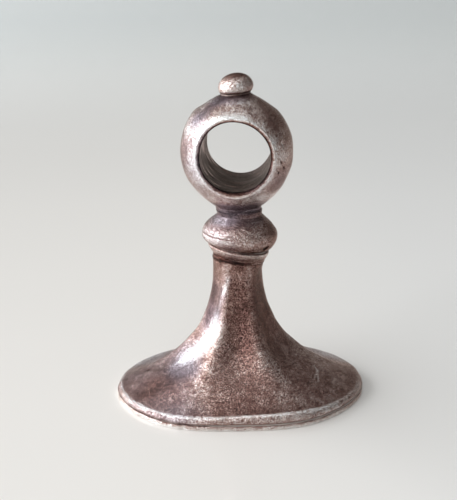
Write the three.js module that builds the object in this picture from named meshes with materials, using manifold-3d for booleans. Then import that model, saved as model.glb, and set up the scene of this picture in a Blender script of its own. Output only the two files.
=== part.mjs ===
// A silver hand seal: an oval engraved die under a trumpet-shaped handle with six soft ridges,
// a collar, a knop and a round pierced bow with a bead on top, all joined with silver solder.
// Millimetres, +Z up. The origin is the middle of the face that prints, which lies on z = 0.

import * as THREE from "three";
import { mergeVertices } from "three/addons/utils/BufferGeometryUtils.js";
import Module from "manifold-3d";

const wasm = await Module();
wasm.setup();

// Driving dimensions

const solderSeam = 0.12; // thickness of the solder in every joint
const solderInset = 0.18; // how far the solder lies back from the edge of its joint
const pegClearance = 0.1; // room round every peg in its hole
const pegEndGap = 0.3; // room past the end of every peg

const die = {
  halfLength: 12.0,
  halfWidth: 9.05,
  thickness: 0.46,
  edgeBevel: 0.08,
};
const engraving = {
  depth: 0.26,
  borderInset: 1.25,
  borderWidth: 0.42,
  beadCount: 32,
  beadInset: 2.35,
  beadRadius: 0.27,
  petalCount: 8,
  petalLength: 1.85,
  petalWidth: 0.74,
  petalReach: 3.3,
  bossRadius: 0.8,
  leafCount: 8,
  leafLength: 0.75,
  leafWidth: 0.3,
  leafReach: 4.45,
  leafStretch: 1.1, // the leaves stand further out along the length of the oval
};
const handle = {
  height: 12.46, // from the solder on the die to the collar
  stemRadius: 2.3,
  rimInset: 0.1, // the foot stands this far inside the edge of the die
  edgeBreak: 0.06,
  edgeHeight: 0.36,
  bevelWidth: 0.38,
  bevelRise: 0.24, // at a ridge: the bevel is lower where a flat meets it
  flatDrop: 0.12,
  sweepDrop: 3.87, // how far below the collar the stem's upright pull ends
  sweepPull: 3.2, // radius, and height above the rim, that the sweep heads for as it leaves the foot
  sweepRise: 3.06,
  ridgeCount: 6,
  ridgeDepthStem: 0.075, // how far the flats lie inside the ridges, as a share of the radius
  ridgeDepthSweep: 0.15,
  ridgeSoftness: 0.1,
  roundTop: 1.2, // length over which the ridges fade out below the collar
  wall: 1.25,
  hollowTop: 7.2, // height of the hollow's roof above the foot
};
const collar = { height: 0.98, topRadius: 2.66, bottomRadius: 2.4, bulge: 0.08 };
const knop = {
  shift: 0.28, // it and the collar sit this far to +X of the stem: they were set by eye
  height: 3.95,
  bottomRadius: 2.8,
  radius: 3.45,
  widestAt: 1.62,
  lowerTilt: 0.95, // height over which the lower half turns in
  shoulder: 1.35,
  neckRadius: 2.1,
  neckHeight: 0.42,
  topRadius: 2.18,
};
const bow = {
  shift: 0.2, // to +X of the stem
  turn: -5, // degrees about Z: the bow was soldered on slightly turned
  radius: 5.12,
  holeRadius: 3.12,
  length: 7.54, // along the hole, between the flat lips
  centreHeight: 5.51, // from its seat to the middle of the hole
  footRadius: 2.14,
  footRise: 0.3, // height of the short upright neck at the foot
  footReach: 1.25, // how far below the middle the foot's slope leaves the ball
  footPull: 2.4, // length of that slope before it turns to the neck
  headRadius: 1.35,
  headHeight: 10.5, // from its seat to the bead's seat
  headReach: 4.35, // how far above the middle the head's slope leaves the ball
  headPull: 0.8,
};
const bead = { radius: 1.56, height: 1.7, seatRadius: 1.3, widestAt: 0.56 };
const knopPeg = { radius: 1.15, length: 2.6 };
const bowPeg = { radius: 0.95, length: 1.9 };
const beadPeg = { radius: 0.55, length: 1.1 };

const roundSides = 40;
const handleSides = 60;
const handleRings = 20;

// Heights of the joints, from the die upwards

const dieTop = die.thickness;
const handleFoot = dieTop + solderSeam;
const handleTop = handleFoot + handle.height;
const collarFoot = handleTop + solderSeam;
const collarTop = collarFoot + collar.height;
const knopFoot = collarTop + solderSeam;
const knopTop = knopFoot + knop.height;
const bowFoot = knopTop + solderSeam;
const bowCentre = bowFoot + bow.centreHeight;
const bowTop = bowFoot + bow.headHeight;
const beadFoot = bowTop + solderSeam;

// Solids

function solid(geometry) {
  const bare = geometry.clone();
  bare.deleteAttribute("normal");
  bare.deleteAttribute("uv");
  const merged = mergeVertices(bare, 1e-4);
  const mesh = new wasm.Mesh({
    numProp: 3,
    vertProperties: merged.attributes.position.array,
    triVerts: new Uint32Array(merged.index.array),
  });
  return new wasm.Manifold(mesh);
}

function geometryOf(manifold) {
  const mesh = manifold.getMesh();
  const geometry = new THREE.BufferGeometry();
  geometry.setAttribute("position", new THREE.BufferAttribute(mesh.vertProperties, 3));
  geometry.setIndex(new THREE.BufferAttribute(mesh.triVerts, 1));
  return geometry;
}

// A body turned about Z from an outline of [radius, height] pairs that runs upwards.
function turned(outline, sides = roundSides) {
  const points = outline.map(([radius, height]) => new THREE.Vector2(radius, height));
  return new THREE.LatheGeometry(points, sides).rotateX(Math.PI / 2);
}

function cylinder(radius, bottom, top, sides = roundSides) {
  return turned(
    [
      [0, bottom],
      [radius, bottom],
      [radius, top],
      [0, top],
    ],
    sides,
  );
}

function ring(innerRadius, outerRadius, bottom, top) {
  return turned([
    [innerRadius, bottom],
    [outerRadius, bottom],
    [outerRadius, top],
    [innerRadius, top],
    [innerRadius, bottom],
  ]);
}

function curvePairs(curve, steps) {
  return curve.getPoints(steps).map((point) => [point.x, point.y]);
}

function bezier(start, pull, end, steps) {
  const [a, b, c] = [start, pull, end].map(([x, y]) => new THREE.Vector2(x, y));
  return curvePairs(new THREE.QuadraticBezierCurve(a, b, c), steps);
}

// Joins closed rings of points, all with the same count, into one closed skin.
function lofted(rings) {
  const sides = rings[0].length;
  const positions = rings.flat(2);
  const faces = [];
  rings.slice(1).forEach((_, level) => {
    for (let side = 0; side < sides; side++) {
      const next = (side + 1) % sides;
      const [a, b] = [level * sides + side, level * sides + next];
      const [c, d] = [a + sides, b + sides];
      faces.push(a, b, d, a, d, c);
    }
  });
  const lastRing = (rings.length - 1) * sides;
  const middles = [rings[0], rings.at(-1)].map((points) => points[0][2]);
  positions.push(0, 0, middles[0], 0, 0, middles[1]);
  const [bottom, top] = [rings.length * sides, rings.length * sides + 1];
  for (let side = 0; side < sides; side++) {
    const next = (side + 1) % sides;
    faces.push(bottom, next, side, top, lastRing + side, lastRing + next);
  }
  const geometry = new THREE.BufferGeometry();
  geometry.setAttribute("position", new THREE.Float32BufferAttribute(positions, 3));
  geometry.setIndex(faces);
  return geometry;
}

function ovalRing(inset, height, sides = handleSides) {
  return Array.from({ length: sides }, (_, side) => {
    const angle = (side / sides) * 2 * Math.PI;
    const x = (die.halfLength - inset) * Math.cos(angle);
    const y = (die.halfWidth - inset) * Math.sin(angle);
    return [x, y, height];
  });
}

function ovalPlate(layers) {
  return lofted(layers.map(([inset, height]) => ovalRing(inset, height)));
}

// The die: an oval plate, engraved underneath with a border, beads and a rosette

function ellipsoidCut(length, width, x, y, angle) {
  return new THREE.SphereGeometry(1, 10, 6)
    .scale(length, width, engraving.depth)
    .rotateZ(angle)
    .translate(x, y, 0);
}

function engravedDie() {
  let plate = solid(
    ovalPlate([
      [0, 0],
      [0, die.thickness - die.edgeBevel],
      [die.edgeBevel, die.thickness],
    ]),
  );
  const groove = (inset) =>
    solid(
      ovalPlate([
        [inset, -engraving.depth],
        [inset, engraving.depth * 0.6],
      ]),
    );
  const border = groove(engraving.borderInset).subtract(
    groove(engraving.borderInset + engraving.borderWidth),
  );
  plate = plate.subtract(border);
  const aspect = die.halfWidth / die.halfLength;
  const cuts = [ellipsoidCut(engraving.bossRadius, engraving.bossRadius * aspect, 0, 0, 0)];
  for (let bead = 0; bead < engraving.beadCount; bead++) {
    const angle = (bead / engraving.beadCount) * 2 * Math.PI;
    const x = (die.halfLength - engraving.beadInset) * Math.cos(angle);
    const y = (die.halfWidth - engraving.beadInset) * Math.sin(angle);
    cuts.push(
      new THREE.SphereGeometry(engraving.beadRadius, 6, 4).translate(x, y, 0),
    );
  }
  for (let petal = 0; petal < engraving.petalCount; petal++) {
    const angle = (petal / engraving.petalCount) * 2 * Math.PI;
    cuts.push(
      ellipsoidCut(
        engraving.petalLength,
        engraving.petalWidth,
        engraving.petalReach * Math.cos(angle),
        engraving.petalReach * aspect * Math.sin(angle),
        Math.atan2(aspect * Math.sin(angle), Math.cos(angle)),
      ),
    );
  }
  for (let leaf = 0; leaf < engraving.leafCount; leaf++) {
    const angle = ((leaf + 0.5) / engraving.leafCount) * 2 * Math.PI;
    cuts.push(
      ellipsoidCut(
        engraving.leafLength,
        engraving.leafWidth,
        engraving.leafReach * engraving.leafStretch * Math.cos(angle),
        engraving.leafReach * aspect * Math.sin(angle),
        Math.atan2(aspect * Math.sin(angle), Math.cos(angle)),
      ),
    );
  }
  return geometryOf(cuts.reduce((left, cut) => left.subtract(solid(cut)), plate));
}

// The handle: a trumpet that sweeps from an oval foot to a six-sided stem

// How far a point of the outline lies inside the ridges, from 0 on a ridge to 1 on a flat.
function flatness(angle) {
  const step = (2 * Math.PI) / handle.ridgeCount;
  const offset = Math.abs(angle / step - Math.round(angle / step)) * 2;
  const soft = Math.sqrt(offset * offset + handle.ridgeSoftness ** 2) - handle.ridgeSoftness;
  const full = Math.sqrt(1 + handle.ridgeSoftness ** 2) - handle.ridgeSoftness;
  return Math.sin(((soft / full) * Math.PI) / 2);
}

function handleRing(radiusX, radiusY, height, depth, drop) {
  return Array.from({ length: handleSides }, (_, side) => {
    const angle = (side / handleSides) * 2 * Math.PI;
    const flat = flatness(angle);
    const x = radiusX * (1 - depth * flat) * Math.cos(angle);
    const y = radiusY * (1 - depth * flat) * Math.sin(angle);
    return [x, y, height - drop * flat];
  });
}

function handleSkin() {
  const footX = die.halfLength - handle.rimInset;
  const footY = die.halfWidth - handle.rimInset;
  const edgeTop = handleFoot + handle.edgeHeight;
  const broken = handle.edgeBreak;
  const rings = [
    handleRing(footX - broken, footY - broken, handleFoot, 0, 0),
    handleRing(footX, footY, handleFoot + broken, 0, 0),
    handleRing(footX, footY, edgeTop, 0, 0),
  ];
  const sweepFoot = edgeTop + handle.bevelRise;
  const sweepX = footX - handle.bevelWidth;
  const sweepY = footY - handle.bevelWidth;
  const sweep = new THREE.CubicBezierCurve(
    new THREE.Vector2(sweepX, sweepFoot),
    new THREE.Vector2(handle.sweepPull, sweepFoot + handle.sweepRise),
    new THREE.Vector2(handle.stemRadius, handleTop - handle.sweepDrop),
    new THREE.Vector2(handle.stemRadius, handleTop),
  );
  for (const { x, y } of sweep.getPoints(handleRings)) {
    const out = (x - handle.stemRadius) / (sweepX - handle.stemRadius);
    const radiusY = handle.stemRadius + out * (sweepY - handle.stemRadius);
    const belly = Math.sin(Math.PI * Math.min(1, out) ** 0.7);
    const fade = Math.min(1, (handleTop - y) / handle.roundTop);
    const depth = fade * handle.ridgeDepthStem * (1 - out) + handle.ridgeDepthSweep * belly;
    rings.push(handleRing(x, radiusY, y, depth, handle.flatDrop * out ** 1.5));
  }
  return lofted(rings);
}

function handleHollow() {
  const footX = die.halfLength - handle.rimInset - handle.wall;
  const footY = die.halfWidth - handle.rimInset - handle.wall;
  const levels = 8;
  const rings = [];
  for (let level = 0; level <= levels; level++) {
    const rise = level / levels;
    const narrow = (1 - rise) ** 2.6;
    const tip = knopPeg.radius;
    const height = handleFoot + (level === 0 ? -0.5 : rise * handle.hollowTop);
    rings.push(
      Array.from({ length: 36 }, (_, side) => {
        const angle = (side / 36) * 2 * Math.PI;
        const x = (tip + narrow * (footX - tip)) * Math.cos(angle);
        const y = (tip + narrow * (footY - tip)) * Math.sin(angle);
        return [x, y, height];
      }),
    );
  }
  return lofted(rings);
}

function castHandle() {
  const pegHole = cylinder(
    knopPeg.radius + pegClearance,
    collarFoot - knopPeg.length - pegEndGap + collar.height,
    handleTop + 1,
  ).translate(knop.shift, 0, 0);
  return geometryOf(
    solid(handleSkin()).subtract(solid(handleHollow())).subtract(solid(pegHole)),
  );
}

// The collar, a soldered ring

function collarRing() {
  const bore = knopPeg.radius + pegClearance;
  const middle = (collar.topRadius + collar.bottomRadius) / 2 + collar.bulge * 2;
  const side = bezier(
    [collar.bottomRadius, collarFoot],
    [middle, collarFoot + collar.height * 0.4],
    [collar.topRadius, collarTop],
    6,
  );
  return turned([[bore, collarFoot], ...side, [bore, collarTop], [bore, collarFoot]]);
}

// The knop, with the neck above it and a peg below

function turnedKnop() {
  const widest = knopFoot + knop.widestAt;
  const neckFoot = knopTop - knop.neckHeight;
  const lower = bezier(
    [knop.bottomRadius, knopFoot],
    [knop.radius, knopFoot + knop.lowerTilt * 0.55],
    [knop.radius, widest],
    6,
  );
  const upper = new THREE.CubicBezierCurve(
    new THREE.Vector2(knop.radius, widest),
    new THREE.Vector2(knop.radius, widest + knop.shoulder * 0.75),
    new THREE.Vector2(knop.neckRadius + 0.25, neckFoot - 0.35),
    new THREE.Vector2(knop.neckRadius, neckFoot),
  );
  const pegFoot = knopFoot - solderSeam * 2 - knopPeg.length;
  const body = turned([
    [0, pegFoot],
    [knopPeg.radius, pegFoot],
    [knopPeg.radius, knopFoot],
    ...lower,
    ...curvePairs(upper, 8).slice(1),
    [knop.topRadius, knopTop],
    [0, knopTop],
  ]);
  const socket = cylinder(
    bowPeg.radius + pegClearance,
    knopTop - bowPeg.length - pegEndGap + solderSeam,
    knopTop + 1,
  ).translate(bow.shift - knop.shift, 0, 0);
  return geometryOf(solid(body).subtract(solid(socket)));
}

// The bow: a ball bored through along Y, drawn out to a foot below and a seat above

// A point on the ball's outline, a given rise above its middle, and the slope there.
function ballPoint(rise) {
  const radius = Math.sqrt(bow.radius ** 2 - rise ** 2);
  return {
    point: [radius, bowCentre + rise],
    slope: [-rise / bow.radius, radius / bow.radius],
    angle: Math.atan2(rise, radius),
  };
}

function along({ point, slope }, distance) {
  return [point[0] + slope[0] * distance, point[1] + slope[1] * distance];
}

function boredBow() {
  const low = ballPoint(-bow.footReach);
  const high = ballPoint(bow.headReach);
  const neckTop = [bow.footRadius, bowFoot + bow.footRise];
  const foot = bezier(neckTop, along(low, -bow.footPull), low.point, 6);
  const head = bezier(high.point, along(high, bow.headPull), [bow.headRadius, bowTop], 4);
  const ballSteps = 12;
  const ball = [];
  for (let step = 1; step < ballSteps; step++) {
    const angle = low.angle + ((high.angle - low.angle) * step) / ballSteps;
    ball.push([bow.radius * Math.cos(angle), bowCentre + bow.radius * Math.sin(angle)]);
  }
  const pegFoot = bowFoot - bowPeg.length;
  const body = turned([
    [0, pegFoot],
    [bowPeg.radius, pegFoot],
    [bowPeg.radius, bowFoot],
    ...foot,
    ...ball,
    ...head,
    [0, bowTop],
  ]);
  const slab = new THREE.BoxGeometry(bow.radius * 3, bow.length, bow.radius * 6);
  slab.translate(0, 0, bowCentre);
  const hole = cylinder(bow.holeRadius, -bow.length, bow.length)
    .rotateX(Math.PI / 2)
    .translate(0, 0, bowCentre);
  const pegHole = cylinder(
    beadPeg.radius + pegClearance,
    beadFoot - beadPeg.length - pegEndGap,
    bowTop + 1,
  );
  return geometryOf(
    solid(body).intersect(solid(slab)).subtract(solid(hole)).subtract(solid(pegHole)),
  );
}

// The bead on top, a flattened ball with a peg

function topBead() {
  const widest = beadFoot + bead.widestAt;
  const rise = bead.height - bead.widestAt;
  const outline = [
    [0, beadFoot - beadPeg.length],
    [beadPeg.radius, beadFoot - beadPeg.length],
    [beadPeg.radius, beadFoot],
    ...bezier([bead.seatRadius, beadFoot], [bead.radius, beadFoot + 0.16], [bead.radius, widest], 4),
  ];
  const domeSteps = 9;
  for (let step = 1; step <= domeSteps; step++) {
    const angle = (step / domeSteps) * (Math.PI / 2);
    const radius = step === domeSteps ? 0 : bead.radius * Math.cos(angle);
    outline.push([radius, widest + rise * Math.sin(angle)]);
  }
  return turned(outline);
}

// Solder in the joints

function dieSolder() {
  const outer = handle.rimInset + solderInset;
  const inner = handle.rimInset + handle.wall;
  const layer = (inset, under) =>
    solid(
      ovalPlate([
        [inset, dieTop - under],
        [inset, handleFoot + under],
      ]),
    );
  return geometryOf(layer(outer, 0).subtract(layer(inner, 0.5)));
}

function roundSolder(pegRadius, edgeRadius, bottom) {
  return ring(pegRadius + pegClearance, edgeRadius - solderInset, bottom, bottom + solderSeam);
}

// Materials and assembly

const silver = { roughness: 0.32, metalness: 1.0 };
const materials = {
  die: new THREE.MeshStandardMaterial({ color: 0xb5aca6, ...silver }),
  handle: new THREE.MeshStandardMaterial({ color: 0x86695f, ...silver }),
  collar: new THREE.MeshStandardMaterial({ color: 0x8f776d, ...silver }),
  knop: new THREE.MeshStandardMaterial({ color: 0x80665f, ...silver }),
  bow: new THREE.MeshStandardMaterial({ color: 0x947e74, ...silver }),
  bead: new THREE.MeshStandardMaterial({ color: 0xa58f84, ...silver }),
  solder: new THREE.MeshStandardMaterial({ color: 0x2e2826, roughness: 0.6, metalness: 0.8 }),
};

function piece(name, geometry, material) {
  const mesh = new THREE.Mesh(geometry, material);
  mesh.name = name;
  return mesh;
}

const top = new THREE.Group();
top.position.x = knop.shift;
const turnedTop = new THREE.Group();
turnedTop.position.x = bow.shift - knop.shift;
turnedTop.rotation.z = THREE.MathUtils.degToRad(bow.turn);
turnedTop.add(
  piece("bow_solder", roundSolder(bowPeg.radius, bow.footRadius, knopTop), materials.solder),
  piece("bow", boredBow(), materials.bow),
  piece("finial_solder", roundSolder(beadPeg.radius, bead.seatRadius, bowTop), materials.solder),
  piece("finial_bead", topBead(), materials.bead),
);
top.add(
  piece(
    "collar_lower_solder",
    roundSolder(knopPeg.radius, collar.bottomRadius, handleTop),
    materials.solder,
  ),
  piece("collar", collarRing(), materials.collar),
  piece(
    "collar_upper_solder",
    roundSolder(knopPeg.radius, collar.topRadius, collarTop),
    materials.solder,
  ),
  piece("knop", turnedKnop(), materials.knop),
  turnedTop,
);

const seal = new THREE.Group();
seal.add(
  piece("die_plate", engravedDie(), materials.die),
  piece("die_solder", dieSolder(), materials.solder),
  piece("handle", castHandle(), materials.handle),
  top,
);

export default seal;
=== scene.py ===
"""A tarnished silver hand seal on a pale glossy sheet, lit by one large window on its left.

Lengths are written in millimetres and turned into metres where a mesh or a lamp is made.
Each silver piece is a skin of rows of points, worked out with numpy. Every point also carries
three numbers that its material reads: one for where handling has polished it and for highlights
painted in as cleaner silver, one for grime and for painted shade, and one for where the tarnish
has a bluish film and for a painted cool tint on highlights.
"""

import math

import bpy
import numpy as np
from mathutils import Matrix, Vector


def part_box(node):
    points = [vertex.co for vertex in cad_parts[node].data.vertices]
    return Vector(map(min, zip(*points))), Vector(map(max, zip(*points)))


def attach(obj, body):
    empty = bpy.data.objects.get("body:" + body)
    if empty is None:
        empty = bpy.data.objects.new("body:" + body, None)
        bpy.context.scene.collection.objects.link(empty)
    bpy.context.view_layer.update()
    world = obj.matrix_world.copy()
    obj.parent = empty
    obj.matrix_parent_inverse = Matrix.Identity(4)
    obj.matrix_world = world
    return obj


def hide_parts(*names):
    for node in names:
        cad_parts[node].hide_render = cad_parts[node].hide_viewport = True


MM = 0.001
LEVEL = np.array([1, 1, 0])
UP = np.array([0, 0, 1])

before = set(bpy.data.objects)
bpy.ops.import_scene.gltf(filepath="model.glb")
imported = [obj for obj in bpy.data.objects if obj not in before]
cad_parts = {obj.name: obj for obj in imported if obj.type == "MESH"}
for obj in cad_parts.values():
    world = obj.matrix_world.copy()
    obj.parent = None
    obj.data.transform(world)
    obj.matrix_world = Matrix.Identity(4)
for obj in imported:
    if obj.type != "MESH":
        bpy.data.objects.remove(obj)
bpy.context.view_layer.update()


def node_box(name):
    """The lowest and highest corners of a CAD node, in millimetres."""
    return [np.array(corner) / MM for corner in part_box(name)]


def middle_x(name):
    low, high = node_box(name)
    return (low[0] + high[0]) / 2


# Places taken from the frame, in millimetres

DIE_HALF = node_box("die_plate")[1][:2]
DIE_TOP = node_box("die_plate")[1][2]
HANDLE_HALF = node_box("handle")[1][:2]
HANDLE_FOOT, HANDLE_TOP = (corner[2] for corner in node_box("handle"))
COLLAR_FOOT, COLLAR_TOP = (corner[2] for corner in node_box("collar"))
KNOP_FOOT = node_box("collar_upper_solder")[1][2]
KNOP_TOP = node_box("knop")[1][2]
KNOP_X = middle_x("knop")
BOW_FOOT = node_box("bow_solder")[1][2]
BOW_TOP = node_box("bow")[1][2]
BOW_X = middle_x("bow_solder")
BEAD_FOOT = node_box("finial_solder")[1][2]
BEAD_TOP = node_box("finial_bead")[1][2]

# Shape, in millimetres and degrees

SIDES = 360
JOINT_INSET = 1.6  # how far in from the rim the hidden faces between die and handle reach
CORE_RADIUS = 1.6  # where the hidden ends of collar and knop begin

RIM = {"height": 0.56, "width": 0.38}
RIM_CURVE = [(0.0, 0.1), (0.02, 0.3), (0.17, 0.47), (RIM["width"] - 0.04, RIM["height"] - 0.03)]
RIM_STEPS = 14
# The handle's lowest rows, as inset, rise, polish and dirt
FOOT_EDGE = [(JOINT_INSET, 0, 0, 1), (0.05, 0, 0, 0.6), (0.02, 0.01, 0.2, 0.4), (0.01, 0.04, 0.5, 0.2)]
FLAT_DROP = {"front": 0.08, "back": 0.06}  # how much lower a flat meets the rim than a ridge does
SWEEP = {"pull": 3.2, "rise": 3.06, "drop": 3.87, "stem_radius": 2.3, "round_top": 1.2, "steps": 210}
RIDGE_ANGLES = [8, 60, 120, 172, 240, 296]
RIDGE_DEPTH = {"stem": 0.075, "front": 0.135, "back": 0.24}
RIDGE_END = {"front": 0.66, "back": 1.1}  # how far out from the stem the ridges run, rim at 1
RIDGE_SOFTNESS = {"front": 0.2, "back": 0.1}
STEM_FLARE = 0.1

# How the front of the foot was filed. Degrees and spreads are angles round it, at 270 in front.
FILED_EDGE = {"degrees": 268, "spread": 18, "depth": 0.037}
FILED_CORNERS = [(236, 14), (301, 16)]
FILED_CORNER_HEIGHT = 0.02
RIM_LIFT = {"degrees": 284, "spread": 30, "height": 0.35}

COLLAR_RADII = (2.34, 2.8)

KNOP_BOTTOM_RADIUS = 2.8
KNOP_RADIUS = 3.45
KNOP_WIDEST = KNOP_FOOT + 1.62
KNOP_GROOVE = KNOP_WIDEST + 0.12
NECK_RADIUS = 2.07
NECK_FOOT = KNOP_TOP - 0.42
NECK_TOP_RADIUS = 2.1

BOW_RADIUS = 5.12
HOLE_RADIUS = 3.12
WALL_RADIUS = HOLE_RADIUS - 0.015
BOW_HALF_LENGTH = 3.77
BOW_CENTRE = BOW_FOOT + 5.51
BOW_TURN = math.radians(-5)
BOW_FOOT_RADIUS = 2.1
BOW_FOOT_RISE = 0.3
BOW_FOOT_REACH = 1.25
BOW_FOOT_PULL = 2.4
BOW_HEAD_RADIUS = 1.35
BOW_HEAD_REACH = 3.3
BOW_HEAD_PULL = 0.5
BOW_LEVELS = {"ball": 110, "wall": 40}
LIP_CHAMFER = 0.08

BEAD_RADIUS = 1.56
BEAD_SEAT_RADIUS = 1.3
BEAD_WIDEST = BEAD_FOOT + 0.56

SOLDER_CORE = 1.0
SOLDER_BULGE = 0.05
SOLDER_OVERLAP = 0.05  # how far a run of solder reaches into the pieces on both sides

# The engraved face. Depths are shares of the full depth.
ENGRAVING_DEPTH = 0.26
BORDER = {"inset": 1.25, "width": 0.42, "depth": 0.65}
CUPS = {"count": 32, "inset": 2.35, "radius": 0.27, "depth": 0.8}
PETALS = {"count": 8, "length": 1.85, "width": 0.74, "reach": 3.3}
LEAVES = {"count": 8, "length": 0.75, "width": 0.3, "reach": 4.9}
BOSS_RADIUS = 0.8

# The parts were soldered by eye. Heights, how far each level tips down towards +X, and how far
# its front is raised.
TIP_HEIGHTS = [0, 11.6, 13.1, 14.2, KNOP_WIDEST, NECK_FOOT, 19.6, 28.2, BEAD_FOOT, 32]
TIP_DEGREES = [0, 0, 7.5, 9, 4, 1, 0, 0, -4, -4]
NOD_DEGREES = [0, 0, 4, 1, 3, 0, 0, 0, 0, 0]

# How much higher the two seams of the collar came out
LIFT_HEIGHTS = [11.5, 13.1, 14.2, KNOP_WIDEST]
LIFTS = [0, 0.42, 0.58, 0]

# How far some levels stand to +X of where they should
SHIFT_HEIGHTS = [3, 5.5, 8, 12.8, 13.6, 14.8, 16, 20, 25, 25.5, 26.5, 27.5, 28.6, 28.95]
SHIFTS = [0, -0.1, 0, 0, -0.08, -0.16, 0, 0, 0, -0.03, -0.1, -0.17, -0.18, -0.05]

# Waves that hand work left on a surface, each with its size, wavelength and seed
HAND_WORK = {
    "die": [(0.025, 3.1, 11), (0.012, 0.9, 12)],
    "handle": [(0.045, 7.0, 21), (0.016, 2.2, 22)],
    "rim": [(0.02, 1.6, 23)],
    "collar": [(0.035, 2.4, 31), (0.015, 0.8, 32)],
    "knop": [(0.05, 4.0, 41), (0.02, 1.1, 42)],
    "bead": [(0.03, 2.0, 51)],
    "bow": [(0.05, 6.0, 61), (0.018, 1.7, 62)],
    "hole": [(0.025, 2.3, 63)],
    "die_seam": [(0.03, 1.3, 71)],
}

# Tool marks that run round the wall of the hole, so they vary fastest along its axis
TOOL_MARKS = {"stretch": [0.3, 1, 0.3], "wavelength": 0.8, "seed": 64}

# How far the uneven edges stay back, so that no wave passes the true outline
EDGE_SETBACK = {"die": 0.05, "rim": 0.04, "die_seam": 0.05}

# Marks of use and places of painted highlight and shade, as lines of places

SCRATCH = [(7.1, -1.53, 0), (7.38, -2.07, 0), (6.95, -3.48, 0)]
SCRATCH_FORK = [(7.38, -2.07, 0), (7.31, -3.61, 0)]
STEM_GLINT = [(-0.95, -2.08, 12), (-1.35, -1.95, 10.8), (-1.86, -1.75, 8.75), (-2.2, -1.72, 7.7)]
SHOULDER_GLINT = [(-2.3, -1.75, 7.3), (-3.2, -1.9, 5.6), (-4.2, -1.7, 4.5), (-5.1, -1.4, 4.0)]
FRONT_FLARE = [(-2, -6.5, 2), (3, -6.5, 2)]
FRONT_STEM = [(0, -2.6, 8.5), (0.2, -3.2, 6.0)]
LEFT_FLARE = [(-5.6, -3.3, 2.7), (-8.6, -3.3, 1.6)]
LEFT_STEM = [(-2.3, -0.4, 10.5), (-3.1, -0.6, 7.4)]
BLUE_PATCH = [(-5.8, -2.3, 3.1), (-4.2, -3.3, 3.5)]
HANDLE_PIT = [(-8.94, -0.11, 0), (-8.84, -0.11, 0)]
KNOP_SPOT = [(-1.9, -1.2, 17.7), (-1.2, -1.8, 17.6)]
KNOP_PIT = [(2.6, -2.3, 15.1), (2.46, -2.44, 15.0)]
BOW_SHOULDER = [(-1.3, -1.5, 28.4), (-2.59, -2.02, 27.61), (-3.4, -2.0, 26.95)]
BOW_CROWN = [(-2.2, -3.7, 27.0), (-0.89, -3.72, 27.3), (0.7, -3.7, 27.2)]
BOW_DULL_SPOT = [(-4.15, -2.39, 25.0), (-4.4, -2.2, 24.4)]
BOW_DING = [(4.0, -3.23, 24.96), (4.05, -3.2, 24.8)]
BOW_PITS = [
    [(3.89, -3.5, 23.43), (3.99, -3.4, 23.2)],
    [(4.18, -2.97, 22.75), (4.22, -2.9, 22.6)],
    [(3.71, -3.42, 22.44), (3.66, -3.42, 22.3)],
]

# Nicks in the die's edge, as place, radius and depth
DIE_NICKS = [((-5.36, -8.15, 0.2), 0.3, 0.18), ((-7.9, -6.9, 0.3), 0.22, 0.09)]
DIE_MIDDLE = np.array([0, 0, 0.2])

# What marks add to a surface's numbers. Each has its line, the distance at which it fades, and
# its strength.
# The two glint lines are painted highlights, cleaner silver where the window's highlight falls; the front
# flare line lightens the lower front.
HANDLE_POLISH_AND_GLINTS = [(STEM_GLINT, 0.2, 0.49), (SHOULDER_GLINT, 1.0, 1.54), (FRONT_FLARE, 2.2, 0.15)]
# These darker patches are painted shade where the flare and stem turn away from the light.
HANDLE_PAINTED_SHADE = [(LEFT_FLARE, 1.4, 0.2), (LEFT_STEM, 0.7, 0.35), (FRONT_STEM, 1.2, 0.15)]
# The bluish film on the two glint lines is a painted cool tint on the highlights; on the other two lines
# it is the tarnish's own colour.
HANDLE_BLUE = [
    (BLUE_PATCH, 1.1, 0.9),
    (LEFT_STEM, 1.5, 0.5),
    (SHOULDER_GLINT, 1.4, 0.6),
    (STEM_GLINT, 0.6, 0.5),
]
KNOP_WORN = [(KNOP_SPOT, 0.35, 0.5)]
# The crown line over the hole is painted lighter: a painted reflection of the bright room overhead.
BOW_PAINTED_SHEEN = [(BOW_CROWN, 0.7, 0.65)]
BOW_DULL = [(BOW_SHOULDER, 0.75, 0.4), (BOW_DULL_SPOT, 0.9, 0.3)]
BOW_BLUE = [(BOW_SHOULDER, 0.75, 0.6)]


# Numbers over a surface


def smoothstep(low, high, value):
    share = np.clip((value - low) / (high - low), 0, 1)
    return share * share * (3 - 2 * share)


def near(value, middle, width):
    """1 at the middle, fading to 0 about a width away."""
    return np.exp(-(((value - middle) / width) ** 2))


def close_to(points, line, radius):
    """1 on a line of places, fading to 0 about a radius away from it."""
    line = np.array(line, dtype=float)
    nearest = np.full(points.shape[:-1], np.inf)
    for start, end in zip(line[:-1], line[1:]):
        run = end - start
        share = np.clip((points - start) @ run / (run @ run), 0, 1)
        distance = np.linalg.norm(points - start - share[..., None] * run, axis=-1)
        nearest = np.minimum(nearest, distance)
    return near(nearest, 0, radius)


def marked(points, marks):
    """The sum of a list of marks over a surface."""
    return sum(strength * close_to(points, line, radius) for line, radius, strength in marks)


def unevenness(points, wavelength, seed):
    """A smooth, seeded unevenness between about -1 and 1, the same wherever it is worked out."""
    random = np.random.default_rng(seed)
    total = np.zeros(points.shape[:-1])
    waves = 9
    for _ in range(waves):
        direction = random.normal(size=3)
        direction /= np.linalg.norm(direction)
        length = wavelength * random.uniform(0.6, 1.6)
        phase = random.uniform(0, 2 * math.pi)
        total += np.sin(points @ direction * (2 * math.pi / length) + phase)
    return total / math.sqrt(waves)


def hand_work(points, name):
    """How far hand work left each point from the surface that was meant."""
    return sum(size * unevenness(points, wavelength, seed) for size, wavelength, seed in HAND_WORK[name])


# Moving points


def unit(vectors):
    return vectors / np.linalg.norm(vectors, axis=-1, keepdims=True)


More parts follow.
